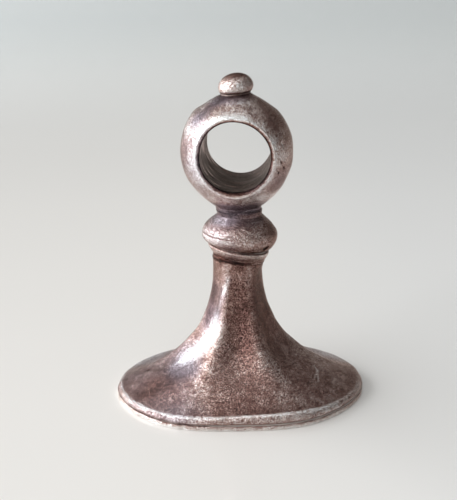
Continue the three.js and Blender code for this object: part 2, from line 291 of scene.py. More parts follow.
def pushed(points, directions, distance):
    """Moves each point along its direction by a distance of its own."""
    return points + directions * distance[..., None]


def scaled_out(points, axis_x, distance):
    """Moves points away from an upright axis by a distance of their own."""
    outwards = (points - [axis_x, 0, 0]) * LEVEL
    length = np.linalg.norm(outwards, axis=-1, keepdims=True)
    hidden_core = 0.3
    return pushed(points, outwards / np.maximum(length, hidden_core), distance)


def tipped(points, axis_x=KNOP_X):
    """Tips each level as the maker's hand left it. The same field serves all the pieces."""
    tip = np.radians(np.interp(points[..., 2], TIP_HEIGHTS, TIP_DEGREES))
    nod = np.radians(np.interp(points[..., 2], TIP_HEIGHTS, NOD_DEGREES))
    moved = points.copy()
    moved[..., 0] += np.interp(points[..., 2], SHIFT_HEIGHTS, SHIFTS)
    moved[..., 2] -= (points[..., 0] - axis_x) * np.tan(tip) + points[..., 1] * np.tan(nod)
    moved[..., 2] += np.interp(points[..., 2], LIFT_HEIGHTS, LIFTS)
    return moved


def nicked(points, nicks, towards):
    """Sinks small dents towards a place inside the piece."""
    inwards = unit(towards - points)
    moved = points
    for place, radius, depth in nicks:
        distance = np.linalg.norm(points - np.array(place), axis=-1)
        moved = pushed(moved, inwards, depth * near(distance, 0, radius))
    return moved


# Outlines and rows of points


def bezier(points, steps):
    """Points on a Bezier curve of any degree, as an array of pairs."""
    points = np.array(points, dtype=float)
    degree = len(points) - 1
    share = np.linspace(0, 1, steps + 1)[:, None]
    curve = np.zeros((steps + 1, 2))
    for index, point in enumerate(points):
        weight = math.comb(degree, index) * share**index * (1 - share) ** (degree - index)
        curve += weight * point
    return curve


def refined(outline, spacing=0.05):
    """The same outline, with points no further apart than the spacing."""
    outline = np.asarray(outline, dtype=float)
    fine = [outline[:1]]
    for start, end in zip(outline[:-1], outline[1:]):
        steps = max(1, math.ceil(np.linalg.norm(end - start) / spacing))
        shares = np.linspace(0, 1, steps + 1)[1:, None]
        fine.append(start + (end - start) * shares)
    return np.vstack(fine)


def round_angles(count):
    return np.linspace(0, 2 * math.pi, count, endpoint=False)


def turned(outline, axis_x, sides=SIDES):
    """Rows of points on a body turned about an upright axis, from [radius, height] pairs."""
    outline = np.asarray(outline, dtype=float)
    angle = round_angles(sides)
    radius, height = outline[:, :1], outline[:, 1:]
    x = axis_x + radius * np.cos(angle)
    y = radius * np.sin(angle)
    return np.stack([x, y, np.broadcast_to(height, x.shape)], axis=-1)


def level_row(radius_x, radius_y, height, angle):
    """A row of points round the handle's axis. Its radii and height may vary with the angle."""
    x = radius_x * np.cos(angle)
    y = radius_y * np.sin(angle)
    return np.stack(np.broadcast_arrays(x, y, height), axis=-1)


def foot_share(angle):
    """The outline of the foot against a true oval: the front edge was filed straighter."""
    degrees = np.degrees(angle) % 360
    corners = sum(near(degrees, middle, spread) for middle, spread in FILED_CORNERS)
    filed = near(degrees, FILED_EDGE["degrees"], FILED_EDGE["spread"])
    return 1 + FILED_CORNER_HEIGHT * corners - FILED_EDGE["depth"] * filed


def front_lift(angle):
    """How much higher the rim stands where its edge was filed back."""
    return RIM_LIFT["height"] * near(np.degrees(angle) % 360, RIM_LIFT["degrees"], RIM_LIFT["spread"])


def oval(inset, half, height, angle):
    """A row on the outline of the foot, or set in from it."""
    share = foot_share(angle)
    return level_row((half[0] - inset) * share, (half[1] - inset) * share, height, angle)


def stacked(levels):
    """Arrays of the rows, the polish and the dirt in a list of (row, polish, dirt)."""
    rows, polish, dirt = zip(*levels)
    sides = len(rows[0])
    return (
        np.array(rows),
        np.array([np.broadcast_to(value, sides) for value in polish]),
        np.array([np.broadcast_to(value, sides) for value in dirt]),
    )


# Meshes


def skin(name, node, rows, wear_and_sheen, grime_and_shade, blue_film_and_cool_highlight=0.0, ends=True):
    """Makes the piece that stands for a CAD node. Its rows of points run round it."""
    levels, sides = rows.shape[:2]
    points = rows.reshape(-1, 3)
    # The three numbers carry painted light as well as the surface's own marks: painted highlights in the
    # first, painted shade in the second and a painted cool tint on highlights in the third.
    numbers = {"wear_and_sheen": wear_and_sheen, "grime_and_shade": grime_and_shade, "blue_film_and_cool_highlight": blue_film_and_cool_highlight}
    for key, values in numbers.items():
        numbers[key] = np.broadcast_to(values, rows.shape[:2]).reshape(-1)
    index = np.arange(levels * sides).reshape(levels, sides)
    if not ends:
        index = np.vstack([index, index[:1]])
    after = np.roll(index, -1, axis=1)
    corners = [index[:-1], after[:-1], after[1:], index[1:]]
    faces = np.stack(corners, axis=-1).reshape(-1, 4).tolist()
    if ends:
        middles = np.array([rows[0].mean(axis=0), rows[-1].mean(axis=0)])
        points = np.vstack([points, middles])
        first, last = levels * sides, levels * sides + 1
        faces += [(first, b, a) for a, b in zip(index[0], after[0])]
        faces += [(last, a, b) for a, b in zip(index[-1], after[-1])]
        for key, values in numbers.items():
            numbers[key] = np.append(values, [values[0], values[-1]])
    mesh = bpy.data.meshes.new(name)
    mesh.from_pydata((points * MM).tolist(), [], faces)
    for key, values in numbers.items():
        attribute = mesh.attributes.new(key, "FLOAT", "POINT")
        attribute.data.foreach_set("value", np.clip(values, -1, 2).astype(np.float32))
    mesh.polygons.foreach_set("use_smooth", np.ones(len(mesh.polygons), dtype=bool))
    mesh.update()
    piece = bpy.data.objects.new(name, mesh)
    bpy.context.collection.objects.link(piece)
    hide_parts(node)
    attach(piece, "root")
    return piece


# The engraved die


def engraved_depth(x, y):
    """Depth of the engraving at a point of the face, as a share of its full depth."""
    aspect = DIE_HALF[1] / DIE_HALF[0]
    ring = np.hypot(x / DIE_HALF[0], y / DIE_HALF[1])
    inset = (1 - ring) * DIE_HALF[0]
    width = BORDER["width"]
    off_line = abs(inset - BORDER["inset"] - width / 2)
    depth = BORDER["depth"] * smoothstep(width * 0.5, width * 0.3, off_line)

    def hollow(centre, length, width, angle=0.0):
        along = (x - centre[0]) * math.cos(angle) + (y - centre[1]) * math.sin(angle)
        across = (y - centre[1]) * math.cos(angle) - (x - centre[0]) * math.sin(angle)
        return np.sqrt(np.clip(1 - (along / length) ** 2 - (across / width) ** 2, 0, 1))

    def round_the_oval(count, offset=0.0):
        for number in range(count):
            angle = (number + offset) / count * 2 * math.pi
            yield math.cos(angle), math.sin(angle)

    for cos, sin in round_the_oval(CUPS["count"]):
        centre = ((DIE_HALF[0] - CUPS["inset"]) * cos, (DIE_HALF[1] - CUPS["inset"]) * sin)
        depth = np.maximum(depth, CUPS["depth"] * hollow(centre, CUPS["radius"], CUPS["radius"]))
    for shape, offset in ((PETALS, 0.0), (LEAVES, 0.5)):
        for cos, sin in round_the_oval(shape["count"], offset):
            centre = (shape["reach"] * cos, shape["reach"] * aspect * sin)
            angle = math.atan2(aspect * sin, cos)
            depth = np.maximum(depth, hollow(centre, shape["length"], shape["width"], angle))
    return np.maximum(depth, hollow((0, 0), BOSS_RADIUS, BOSS_RADIUS * aspect))


def die_face(angle):
    """Rows of the printing face, from near its middle to the edge."""
    rows = []
    by_the_edge = DIE_HALF[0] - 0.15
    for share in np.linspace(0.004, 1, 190)[:-1]:
        row = oval(0, DIE_HALF * share, 0.0, angle)
        row[:, 2] = ENGRAVING_DEPTH * engraved_depth(row[:, 0], row[:, 1])
        if row[0, 0] < by_the_edge:
            rows.append(row)
    return rows


def make_die():
    angle = round_angles(2 * SIDES)
    face = die_face(angle)
    edge = [
        (0.1, 0.0),
        (0.03, 0.03),
        (0.0, 0.1),
        *((0.0, height) for height in np.linspace(0.16, DIE_TOP - 0.2, 7)),
        (0.01, DIE_TOP - 0.03),
        (0.04, DIE_TOP),
        (JOINT_INSET, DIE_TOP),
    ]
    rows = np.array(face + [oval(inset, DIE_HALF, height, angle) for inset, height in edge])
    ring = np.hypot(rows[..., 0] / DIE_HALF[0], rows[..., 1] / DIE_HALF[1])
    outer = smoothstep(1.2, 0.2, DIE_HALF[0] * (1 - ring))
    side = outer * smoothstep(0.0, 0.12, rows[..., 2])
    rows = pushed(rows, unit(rows * LEVEL), (hand_work(rows, "die") - EDGE_SETBACK["die"]) * side)
    rows = nicked(rows, DIE_NICKS, DIE_MIDDLE)
    height = rows[..., 2]
    on_face = np.arange(len(rows))[:, None] < len(face)
    lower_edge_sheen = near(height, 0.05, 0.1)
    left = smoothstep(-3, -6, rows[..., 0])
    seam = smoothstep(DIE_TOP - 0.06, DIE_TOP, height)
    # The lower edge is painted brighter, partly wear and partly a painted reflection of the pale sheet;
    # the left side is painted brighter as a painted highlight from the window.
    wear_and_sheen = outer * (0.25 + 0.55 * lower_edge_sheen + 0.25 * left)
    grime_and_shade = 0.8 * on_face * height / ENGRAVING_DEPTH + 0.6 * seam
    return skin("engraved_die", "die_plate", rows, wear_and_sheen, grime_and_shade)


# The handle


def front_to_back(setting, angle):
    """A setting's front value, changing to its back value round the sides."""
    back = smoothstep(-0.25, 0.35, np.sin(angle))
    return setting["front"] + (setting["back"] - setting["front"]) * back


def ridge_flatness(angle):
    """0 on a ridge, rising to 1 in the middle of the flat between two ridges."""
    ridges = np.radians([RIDGE_ANGLES[-1] - 360, *RIDGE_ANGLES, RIDGE_ANGLES[0] + 360])
    span = np.interp(angle, ridges, np.arange(len(ridges)))
    offset = 2 * abs(span - np.round(span))
    softness = front_to_back(RIDGE_SOFTNESS, angle)
    soft = np.sqrt(offset**2 + softness**2) - softness
    full = np.sqrt(1 + softness**2) - softness
    return np.sin(soft / full * math.pi / 2)


def handle_foot(angle, flat):
    """The rows of the foot and its rounded rim, each with its polish and its dirt. The crest's extra
    polish is a painted highlight, fading out towards the right end.
    """
    levels = [
        (oval(inset, HANDLE_HALF, HANDLE_FOOT + rise, angle), polish, dirt)
        for inset, rise, polish, dirt in FOOT_EDGE
    ]
    drop = front_to_back(FLAT_DROP, angle)
    crest_highlight_reach = smoothstep(1, 0.4, np.cos(angle))
    for inset, rise in bezier(RIM_CURVE, RIM_STEPS):
        lowered = drop * flat * inset / RIM["width"] - front_lift(angle) * rise / RIM["height"]
        crest = near(rise, RIM["height"] - 0.06, 0.1)
        row = oval(inset, HANDLE_HALF, HANDLE_FOOT + rise - lowered, angle)
        # The crest is painted brighter as a painted highlight, except towards the right end.
        levels.append((row, 0.6 + 0.6 * crest * crest_highlight_reach, 0))
    return levels


def handle_sweep(angle, flat):
    """The rows from the rim's crest to the top of the stem, each with its polish and its dirt."""
    crest = HANDLE_FOOT + RIM["height"]
    half = HANDLE_HALF - RIM["width"]
    stem = SWEEP["stem_radius"]
    sweep = bezier(
        [
            (half[0], crest),
            (SWEEP["pull"], crest + SWEEP["rise"]),
            (stem, HANDLE_TOP - SWEEP["drop"]),
            (stem, HANDLE_TOP),
        ],
        SWEEP["steps"],
    )
    drop = front_to_back(FLAT_DROP, angle)
    ridge_end = front_to_back(RIDGE_END, angle)
    ridge_depth = front_to_back(RIDGE_DEPTH, angle)
    ridge = near(flat, 0, 0.28)
    levels = []
    for radius_x, height in sweep[1:]:
        out = (radius_x - stem) / (half[0] - stem)
        radius_y = stem + out * (half[1] - stem)
        fade = min(1.0, (HANDLE_TOP - height) / SWEEP["round_top"])
        belly = np.sin(math.pi * np.minimum(1.0, out / ridge_end) ** 0.75)
        depth = fade * RIDGE_DEPTH["stem"] * (1 - out) + ridge_depth * belly
        share = (1 - depth * flat) * (1 + out * (foot_share(angle) - 1))
        lift = front_lift(angle) * out**5 - drop * out**1.5 * flat
        row = level_row(radius_x * share, radius_y * share, height + lift, angle)
        top = smoothstep(HANDLE_TOP - 0.12, HANDLE_TOP, height)
        levels.append((row, 0.1 + 0.36 * ridge * (1 - 0.7 * out), 0.3 * top))
    levels.append((level_row(stem, stem, HANDLE_TOP + SOLDER_OVERLAP, angle), 0, 0.8))
    return levels


def make_handle():
    angle = round_angles(2 * SIDES)
    flat = ridge_flatness(angle)
    rows, wear_and_sheen, grime_and_shade = stacked(handle_foot(angle, flat) + handle_sweep(angle, flat))
    crest = HANDLE_FOOT + RIM["height"]
    height = rows[..., 2]
    body = smoothstep(crest - 0.2, crest + 1.0, height) * smoothstep(HANDLE_TOP, HANDLE_TOP - 1, height)
    rim = smoothstep(HANDLE_FOOT + 0.02, HANDLE_FOOT + 0.1, height) * (1 - body)
    hand = hand_work(rows, "handle")
    flare = STEM_FLARE * smoothstep(HANDLE_TOP - 1, HANDLE_TOP, height) * (1 + 0.6 * np.cos(angle))
    rows = scaled_out(rows, 0, flare)
    outwards = unit(rows * LEVEL + 2 * UP)
    rows = pushed(rows, outwards, hand * body)
    rows = pushed(rows, outwards, (hand_work(rows, "rim") - EDGE_SETBACK["rim"]) * rim)
    rows = tipped(rows, 0)

    x, y, height = rows[..., 0], rows[..., 1], rows[..., 2]
    plan = rows * LEVEL
    scratch = np.maximum(close_to(plan, SCRATCH, 0.07), close_to(plan, SCRATCH_FORK, 0.06))
    pit = close_to(plan, HANDLE_PIT, 0.14) * (height < 4)
    # The back of the flange is painted paler and bluer: a painted reflection of the pale backdrop at a
    # grazing angle.
    back_flange_sheen = smoothstep(0, 4.5, y) * smoothstep(6.5, 10, np.hypot(x, 1.3 * y))
    off_left = smoothstep(-3, -1, x) * (1 - back_flange_sheen)
    # The right of the stem, away from the window, is painted darker: painted shade.
    stem_right_shade = smoothstep(0.9, 2.1, x) * smoothstep(6, 8, height)
    # The glint lines add painted highlights and the darker patches add painted shade.
    wear_and_sheen = wear_and_sheen + marked(rows, HANDLE_POLISH_AND_GLINTS) + 0.15 * smoothstep(2, 5, x)
    wear_and_sheen = wear_and_sheen + 0.9 * scratch + 0.8 * back_flange_sheen
    grime_and_shade = grime_and_shade + marked(rows, HANDLE_PAINTED_SHADE) + 0.16 * stem_right_shade + pit
    blue_film_and_cool_highlight = marked(rows, HANDLE_BLUE) + 0.35 * smoothstep(-3, -6, x) + 0.7 * back_flange_sheen - 0.3 * off_left
    rows = pushed(rows, -UP, 0.02 * scratch + 0.1 * pit)
    return skin("cast_handle", "handle", rows, wear_and_sheen, grime_and_shade, blue_film_and_cool_highlight)


# The turned pieces


def make_collar():
    low, high = COLLAR_RADII
    hollow_side = bezier(
        [(low + 0.04, COLLAR_FOOT + 0.14), (low + 0.3, COLLAR_FOOT + 0.45), (high, COLLAR_TOP - 0.2)], 8
    )
    outline = refined(
        [
            (CORE_RADIUS, COLLAR_FOOT),
            (low - 0.08, COLLAR_FOOT),
            (low + 0.02, COLLAR_FOOT + 0.06),
            *hollow_side,
            (high, COLLAR_TOP - 0.1),
            (high - 0.07, COLLAR_TOP - 0.02),
            (high - 0.2, COLLAR_TOP),
            (CORE_RADIUS, COLLAR_TOP),
        ]
    )
    rows = turned(outline, KNOP_X)
    rows = scaled_out(rows, KNOP_X, hand_work(rows, "collar"))
    height = rows[..., 2]
    wear_and_sheen = 0.5 * near(height, COLLAR_TOP - 0.28, 0.22)
    lower_seam = smoothstep(COLLAR_FOOT + 0.1, COLLAR_FOOT, height)
    upper_seam = smoothstep(COLLAR_TOP - 0.08, COLLAR_TOP, height)
    return skin("collar_ring", "collar", tipped(rows), wear_and_sheen, 0.4 * lower_seam + 0.8 * upper_seam)


def knop_outline():
    """[radius, height] pairs of the flattened ball and its neck."""
    foot = [
        (CORE_RADIUS, KNOP_FOOT),
        (KNOP_BOTTOM_RADIUS - 0.12, KNOP_FOOT),
        (KNOP_BOTTOM_RADIUS - 0.02, KNOP_FOOT + 0.03),
    ]
    lower = bezier(
        [
            (KNOP_BOTTOM_RADIUS, KNOP_FOOT + 0.06),
            (KNOP_RADIUS, KNOP_FOOT + 0.55),
            (KNOP_RADIUS, KNOP_WIDEST),
        ],
        30,
    )
    upper = bezier(
        [
            (KNOP_RADIUS, KNOP_WIDEST),
            (KNOP_RADIUS, KNOP_WIDEST + 1.0),
            (NECK_RADIUS + 0.25, NECK_FOOT - 0.35),
            (NECK_RADIUS, NECK_FOOT),
        ],
        40,
    )
    neck = bezier(
        [(NECK_RADIUS, NECK_FOOT), (NECK_RADIUS - 0.01, NECK_FOOT + 0.2), (NECK_TOP_RADIUS, KNOP_TOP)], 10
    )
    return refined([*foot, *lower, *upper[1:], *neck[1:], (CORE_RADIUS, KNOP_TOP)])


def make_knop():
    rows = turned(knop_outline(), KNOP_X)
    height = rows[..., 2]
    right = unit((rows - [KNOP_X, 0, 0]) * LEVEL)[..., 0]
    facing_left = smoothstep(-0.2, 0.6, -right)
    groove = near(height, KNOP_GROOVE, 0.05) * (0.25 + 0.75 * facing_left)
    body = smoothstep(KNOP_FOOT, KNOP_FOOT + 0.3, height) * smoothstep(KNOP_TOP, NECK_FOOT - 0.2, height)
    rows = scaled_out(rows, KNOP_X, hand_work(rows, "knop") * body - 0.05 * groove)

    # The belly is polished, and painted brighter on its left side as a painted highlight from the window.
    belly = near(height, KNOP_WIDEST - 0.1, 0.85) * (0.4 + 0.75 * facing_left)
    wear_and_sheen = 0.15 + 0.6 * belly + marked(rows, KNOP_WORN)
    seam = smoothstep(KNOP_FOOT + 0.14, KNOP_FOOT, height)
    neck = smoothstep(NECK_FOOT - 0.45, NECK_FOOT + 0.1, height)
    groove_dirt = near(height, KNOP_GROOVE, 0.07) * facing_left
    # The last term darkens the knop's right side: painted shade away from the window.
    grime_and_shade = 0.8 * seam + 0.28 * neck + 0.5 * groove_dirt + 0.22 * smoothstep(0.6, 0.95, right)
    under_bow = smoothstep(NECK_FOOT - 1.0, NECK_FOOT - 0.1, height)
    # The bluish film on the left side is a painted cool tint on the highlight there.
    blue_film_and_cool_highlight = 0.9 * under_bow * (0.6 + 0.4 * facing_left) + 0.45 * facing_left
    rows = tipped(rows)
    pit = close_to(rows, KNOP_PIT, 0.2)
    rows = scaled_out(rows, KNOP_X, -0.12 * pit)
    return skin("knop_ball", "knop", rows, wear_and_sheen, grime_and_shade + 1.2 * pit, blue_film_and_cool_highlight)


def make_bead():
    side = bezier(
        [(BEAD_SEAT_RADIUS, BEAD_FOOT), (BEAD_RADIUS, BEAD_FOOT + 0.12), (BEAD_RADIUS, BEAD_WIDEST)], 12
    )
    arc = np.linspace(0, math.pi / 2, 40)[1:-1]
    dome_rise = BEAD_TOP - BEAD_WIDEST
    dome = np.stack([BEAD_RADIUS * np.cos(arc), BEAD_WIDEST + dome_rise * np.sin(arc)], axis=-1)
    outline = np.vstack([refined([(0.5, BEAD_FOOT), *side]), dome])
    rows = turned(outline, BOW_X, sides=SIDES // 2)
    height = rows[..., 2]
    rows = scaled_out(rows, BOW_X, hand_work(rows, "bead") * smoothstep(BEAD_FOOT, BEAD_WIDEST, height))
    wear_and_sheen = 0.4 * near(height, BEAD_WIDEST + 0.1, 0.5) + 0.1
    seam = smoothstep(BEAD_FOOT + 0.22, BEAD_FOOT, height)
    crown_shade = smoothstep(BEAD_TOP - 0.5, BEAD_TOP, height)
    right = smoothstep(0.5, 1.4, rows[..., 0] - BOW_X)
    # The top and the right of the bead are painted darker: painted shade.
    grime_and_shade = 0.9 * seam + 0.5 * crown_shade + 0.25 * right
    return skin("top_bead", "finial_bead", tipped(rows), wear_and_sheen, grime_and_shade)


# The bow


def bow_outline():
    """Radius against height above the bow's middle, for the ball with its foot and its head."""

    def ball(rise):
        radius = math.sqrt(BOW_RADIUS**2 - rise**2)
        return np.array([radius, rise]), np.array([-rise, radius]) / BOW_RADIUS

    low, low_slope = ball(-BOW_FOOT_REACH)
    high, high_slope = ball(BOW_HEAD_REACH)
    bottom = BOW_FOOT - BOW_CENTRE
    foot = bezier([(BOW_FOOT_RADIUS, bottom + BOW_FOOT_RISE), low - low_slope * BOW_FOOT_PULL, low], 30)
    head = bezier([high, high + high_slope * BOW_HEAD_PULL, (BOW_HEAD_RADIUS, BOW_TOP - BOW_CENTRE)], 30)
    rises = np.linspace(-BOW_FOOT_REACH, BOW_HEAD_REACH, 60)[1:-1]
    middle = np.stack([np.sqrt(BOW_RADIUS**2 - rises**2), rises], axis=-1)
    under = [
        (0.0, bottom - 0.1),
        (BOW_FOOT_RADIUS - 0.2, bottom - 0.09),
        (BOW_FOOT_RADIUS, bottom - 0.02),
        (BOW_FOOT_RADIUS, bottom + 0.15),
    ]
    over = [(0.0, head[-1, 1] + 0.02)]
    return np.vstack([under, foot, middle, head, over])


def ball_radii(angle, depth):
    """How far the ball reaches from the hole's axis, at each depth and angle, by halving."""
    outline = bow_outline()
    beyond_the_ball = 8.0
    halvings = 40
    inside = np.full((len(depth), len(angle)), HOLE_RADIUS)
    outside = np.full(inside.shape, beyond_the_ball)
    for _ in range(halvings):
        radius = (inside + outside) / 2
        reach = np.interp(radius * np.sin(angle), outline[:, 1], outline[:, 0], left=0, right=0)
        within = np.hypot(radius * np.cos(angle), depth[:, None]) < reach
        inside, outside = np.where(within, radius, inside), np.where(within, outside, radius)
    return inside


def bow_levels(angle):
    """The rows round the hole, each with its polish and its dirt.

    They run through the hole from front to back and return over the ball.
    """
    half = BOW_HALF_LENGTH
    depth = half * np.sin(np.linspace(-math.pi / 2, math.pi / 2, BOW_LEVELS["ball"]))
    radii = ball_radii(angle, depth)
    edge = np.maximum(radii, HOLE_RADIUS + 2.2 * LIP_CHAMFER) - 0.02

    def row(radius, place):
        across = [radius * np.cos(angle), place, radius * np.sin(angle)]
        return np.stack(np.broadcast_arrays(*across), axis=-1)

    def lip(side):
        return [
            (row(HOLE_RADIUS + LIP_CHAMFER, side * half), 0, 0.6),
            (row(HOLE_RADIUS + LIP_CHAMFER * 0.25, side * (half - LIP_CHAMFER * 0.3)), 0, 0.9),
        ]

    wall = []
    for place in np.linspace(LIP_CHAMFER - half, half - LIP_CHAMFER, BOW_LEVELS["wall"]):
        deep = smoothstep(3.4, 2.0, abs(place))
        wall.append((row(WALL_RADIUS, place), 0, 0.75 + 0.2 * deep))
    ball = []
    for radius, place in zip(radii[-2:0:-1], depth[-2:0:-1]):
        by_lip = near(abs(place), half, 0.3)
        ball.append((row(radius, place), 0.2 + 0.3 * by_lip, 0))
    front = (row(edge[0], -half), 0.6, 0)
    back = (row(edge[-1], half), 0.6, 0)
    return [*lip(-1), *wall, *reversed(lip(1)), back, *ball, front]


def make_bow():
    rows, wear_and_sheen, grime_and_shade = stacked(bow_levels(round_angles(SIDES)))
    off_wall = np.hypot(rows[..., 0], rows[..., 2]) - HOLE_RADIUS
    rise = rows[..., 2]
    shell = smoothstep(0.3, 0.9, off_wall)
    free = smoothstep(-5.45, -4.2, rise) * smoothstep(5.0, 4.2, rise)
    outwards = unit(rows)
    rows = pushed(rows, outwards, hand_work(rows, "bow") * shell * free)
    tool_marks = unevenness(rows * TOOL_MARKS["stretch"], TOOL_MARKS["wavelength"], TOOL_MARKS["seed"])
    # The streaks are tool marks, painted stronger and lighter on the left of the hole's wall as a painted
    # reflection of the window's light there.
    lit_wall_side = smoothstep(-0.8, -2.6, rows[..., 0])
    streaks = tool_marks * (off_wall < 0) * (0.35 + 0.65 * lit_wall_side)
    hole = hand_work(rows, "hole") * (1 - smoothstep(0, 0.3, off_wall))
    rows = pushed(rows, outwards * [1, 0, 1], hole)

    x = rows[..., 0]
    sides = smoothstep(-3.5, 0.5, rise) * smoothstep(3.6, 1.5, rise)
    lower_front = near(rise, -3.85, 0.45)
    lip = smoothstep(0.75, 0.25, off_wall) * (off_wall > 0.1)
    wear_and_sheen = wear_and_sheen + 0.35 * shell * (sides + lower_front) + 0.45 * lip + 1.9 * np.maximum(0, streaks)
    # The bow's left and right limbs are painted darker: painted shade where the ball turns away from the
    # light.
    left_limb_shade = smoothstep(4.1, 4.9, -x) * smoothstep(3.0, 1.5, abs(rise))
    right_limb_shade = smoothstep(3.9, 4.8, x + 0.5 * abs(rise)) * smoothstep(-4, -3, rise) * (x > 1)
    grime_and_shade = grime_and_shade + 0.35 * left_limb_shade + 0.28 * right_limb_shade - 0.5 * np.minimum(0, streaks)
    neck = smoothstep(-4.3, -4.7, rise)
    under_bead = smoothstep(4.5, 4.95, rise)
    grime_and_shade = np.maximum(grime_and_shade, np.maximum(0.4 * neck, 0.5 * under_bead) * (off_wall > 0.5))

    turn = np.array(Matrix.Rotation(BOW_TURN, 3, "Z"))
    middle = [BOW_X, 0, BOW_CENTRE]
    rows = tipped(rows @ turn.T + middle, BOW_X)
    pits = sum(close_to(rows, pit, 0.06) for pit in BOW_PITS)
    ding = close_to(rows, BOW_DING, 0.14)
    # The crown band is a painted reflection; the ding is wear.
    wear_and_sheen = wear_and_sheen + marked(rows, BOW_PAINTED_SHEEN) + ding
    grime_and_shade = grime_and_shade + marked(rows, BOW_DULL) + 1.3 * pits
    left = smoothstep(-1.5, -3.5, rows[..., 0])
    right = smoothstep(0, 1.5, rows[..., 0])
    ends = smoothstep(-4.25, -4.7, rise) + 0.8 * smoothstep(4.0, 4.7, rise)
    right_film = 0.35 * smoothstep(0, -2, rise) - 0.3 * smoothstep(-0.5, 1, rise)
    # The bluish film on the left is a painted cool tint on the highlight there.
    blue_film_and_cool_highlight = marked(rows, BOW_BLUE) + ends + 0.5 * left + right * right_film
    rows = pushed(rows, (middle - rows) / BOW_RADIUS, 0.08 * pits + 0.06 * ding)
    return skin("pierced_bow", "bow", rows, wear_and_sheen, grime_and_shade, blue_film_and_cool_highlight, ends=False)


# Solder in the joints


def make_round_solder(name, node, axis_x, bottom, top, radius, seed, dirt=0.75, blue_film_and_cool_highlight=0.0):
    """A run of solder that fills the joint from one height to another."""
    middle = (bottom + top) / 2
    half = (top - bottom) / 2 + SOLDER_OVERLAP
    arc = np.linspace(-math.pi / 2, math.pi / 2, 9)
    side = np.stack([radius + SOLDER_BULGE * np.cos(arc), middle + half * np.sin(arc)], axis=-1)
    rows = turned([(SOLDER_CORE, middle - half), *side, (SOLDER_CORE, middle + half)], axis_x)
    rows = scaled_out(rows, axis_x, 0.04 * unevenness(rows, 0.9, seed))
    grime_and_shade = dirt + 0.4 * unevenness(rows, 3.5, seed + 10)
    return skin(name, node, tipped(rows), 0, grime_and_shade, blue_film_and_cool_highlight)


def make_die_solder():
    angle = round_angles(2 * SIDES)
    heights = [DIE_TOP - 0.03, DIE_TOP, (DIE_TOP + HANDLE_FOOT) / 2, HANDLE_FOOT, HANDLE_FOOT + 0.03]
    insets = [1.4, 0.03, 0.0, 0.03, 1.4]
    rows = np.array([oval(inset, DIE_HALF, height, angle) for inset, height in zip(insets, heights)])
    left = smoothstep(-1, -6, rows[..., 0])
    setback = EDGE_SETBACK["die_seam"] * (1 + left)
    rows = pushed(rows, unit(rows * LEVEL), hand_work(rows, "die_seam") - setback)
    grime_and_shade = -0.6 + 1.2 * left + 0.3 * unevenness(rows, 4.5, 72)
    return skin("die_seam_solder", "die_solder", rows, 0, grime_and_shade)


# Materials

# Colours of silver from black to clean, with and without the bluish film
TARNISH = [
    (0.0, (0.014, 0.009, 0.009)),
    (0.2, (0.055, 0.026, 0.021)),
    (0.42, (0.205, 0.09, 0.073)),
    (0.62, (0.45, 0.3, 0.26)),
    (0.82, (0.8, 0.74, 0.71)),
    (1.0, (0.96, 0.95, 0.95)),
]
VIOLET_TARNISH = [(0.0, (0.016, 0.014, 0.018)), (0.5, (0.26, 0.2, 0.23)), (1.0, (0.93, 0.92, 0.98))]
SOLDER_CRUST = [(0.1, (0.02, 0.014, 0.014)), (0.5, (0.14, 0.09, 0.08)), (0.9, (0.45, 0.38, 0.35))]

# How much each layer cleans the silver, or dirties it if negative, and how much it raises it
# The polish and grime layers also carry painted highlights and painted shade.
CLEANING = {"clouds": 0.36, "blots": 0.4, "speckle": 2.8, "hairs": -0.15, "wear_and_sheen": 0.38, "grime_and_shade": -0.62}
RELIEF = {"grain": 1.3, "wear": 1.4, "hairs": -0.1}
BRIGHTEST_SPECKLE = 0.075
HAIR_SHARPNESS = 22.0

# The sheet's colours are painted lighter at the front left and darker to the right and far behind: a
# painted falloff of light.
SHEET_LEFT = (0.91, 0.865, 0.825, 1)
SHEET_RIGHT = (0.835, 0.81, 0.79, 1)
SHEET_FAR = (0.63, 0.64, 0.633, 1)


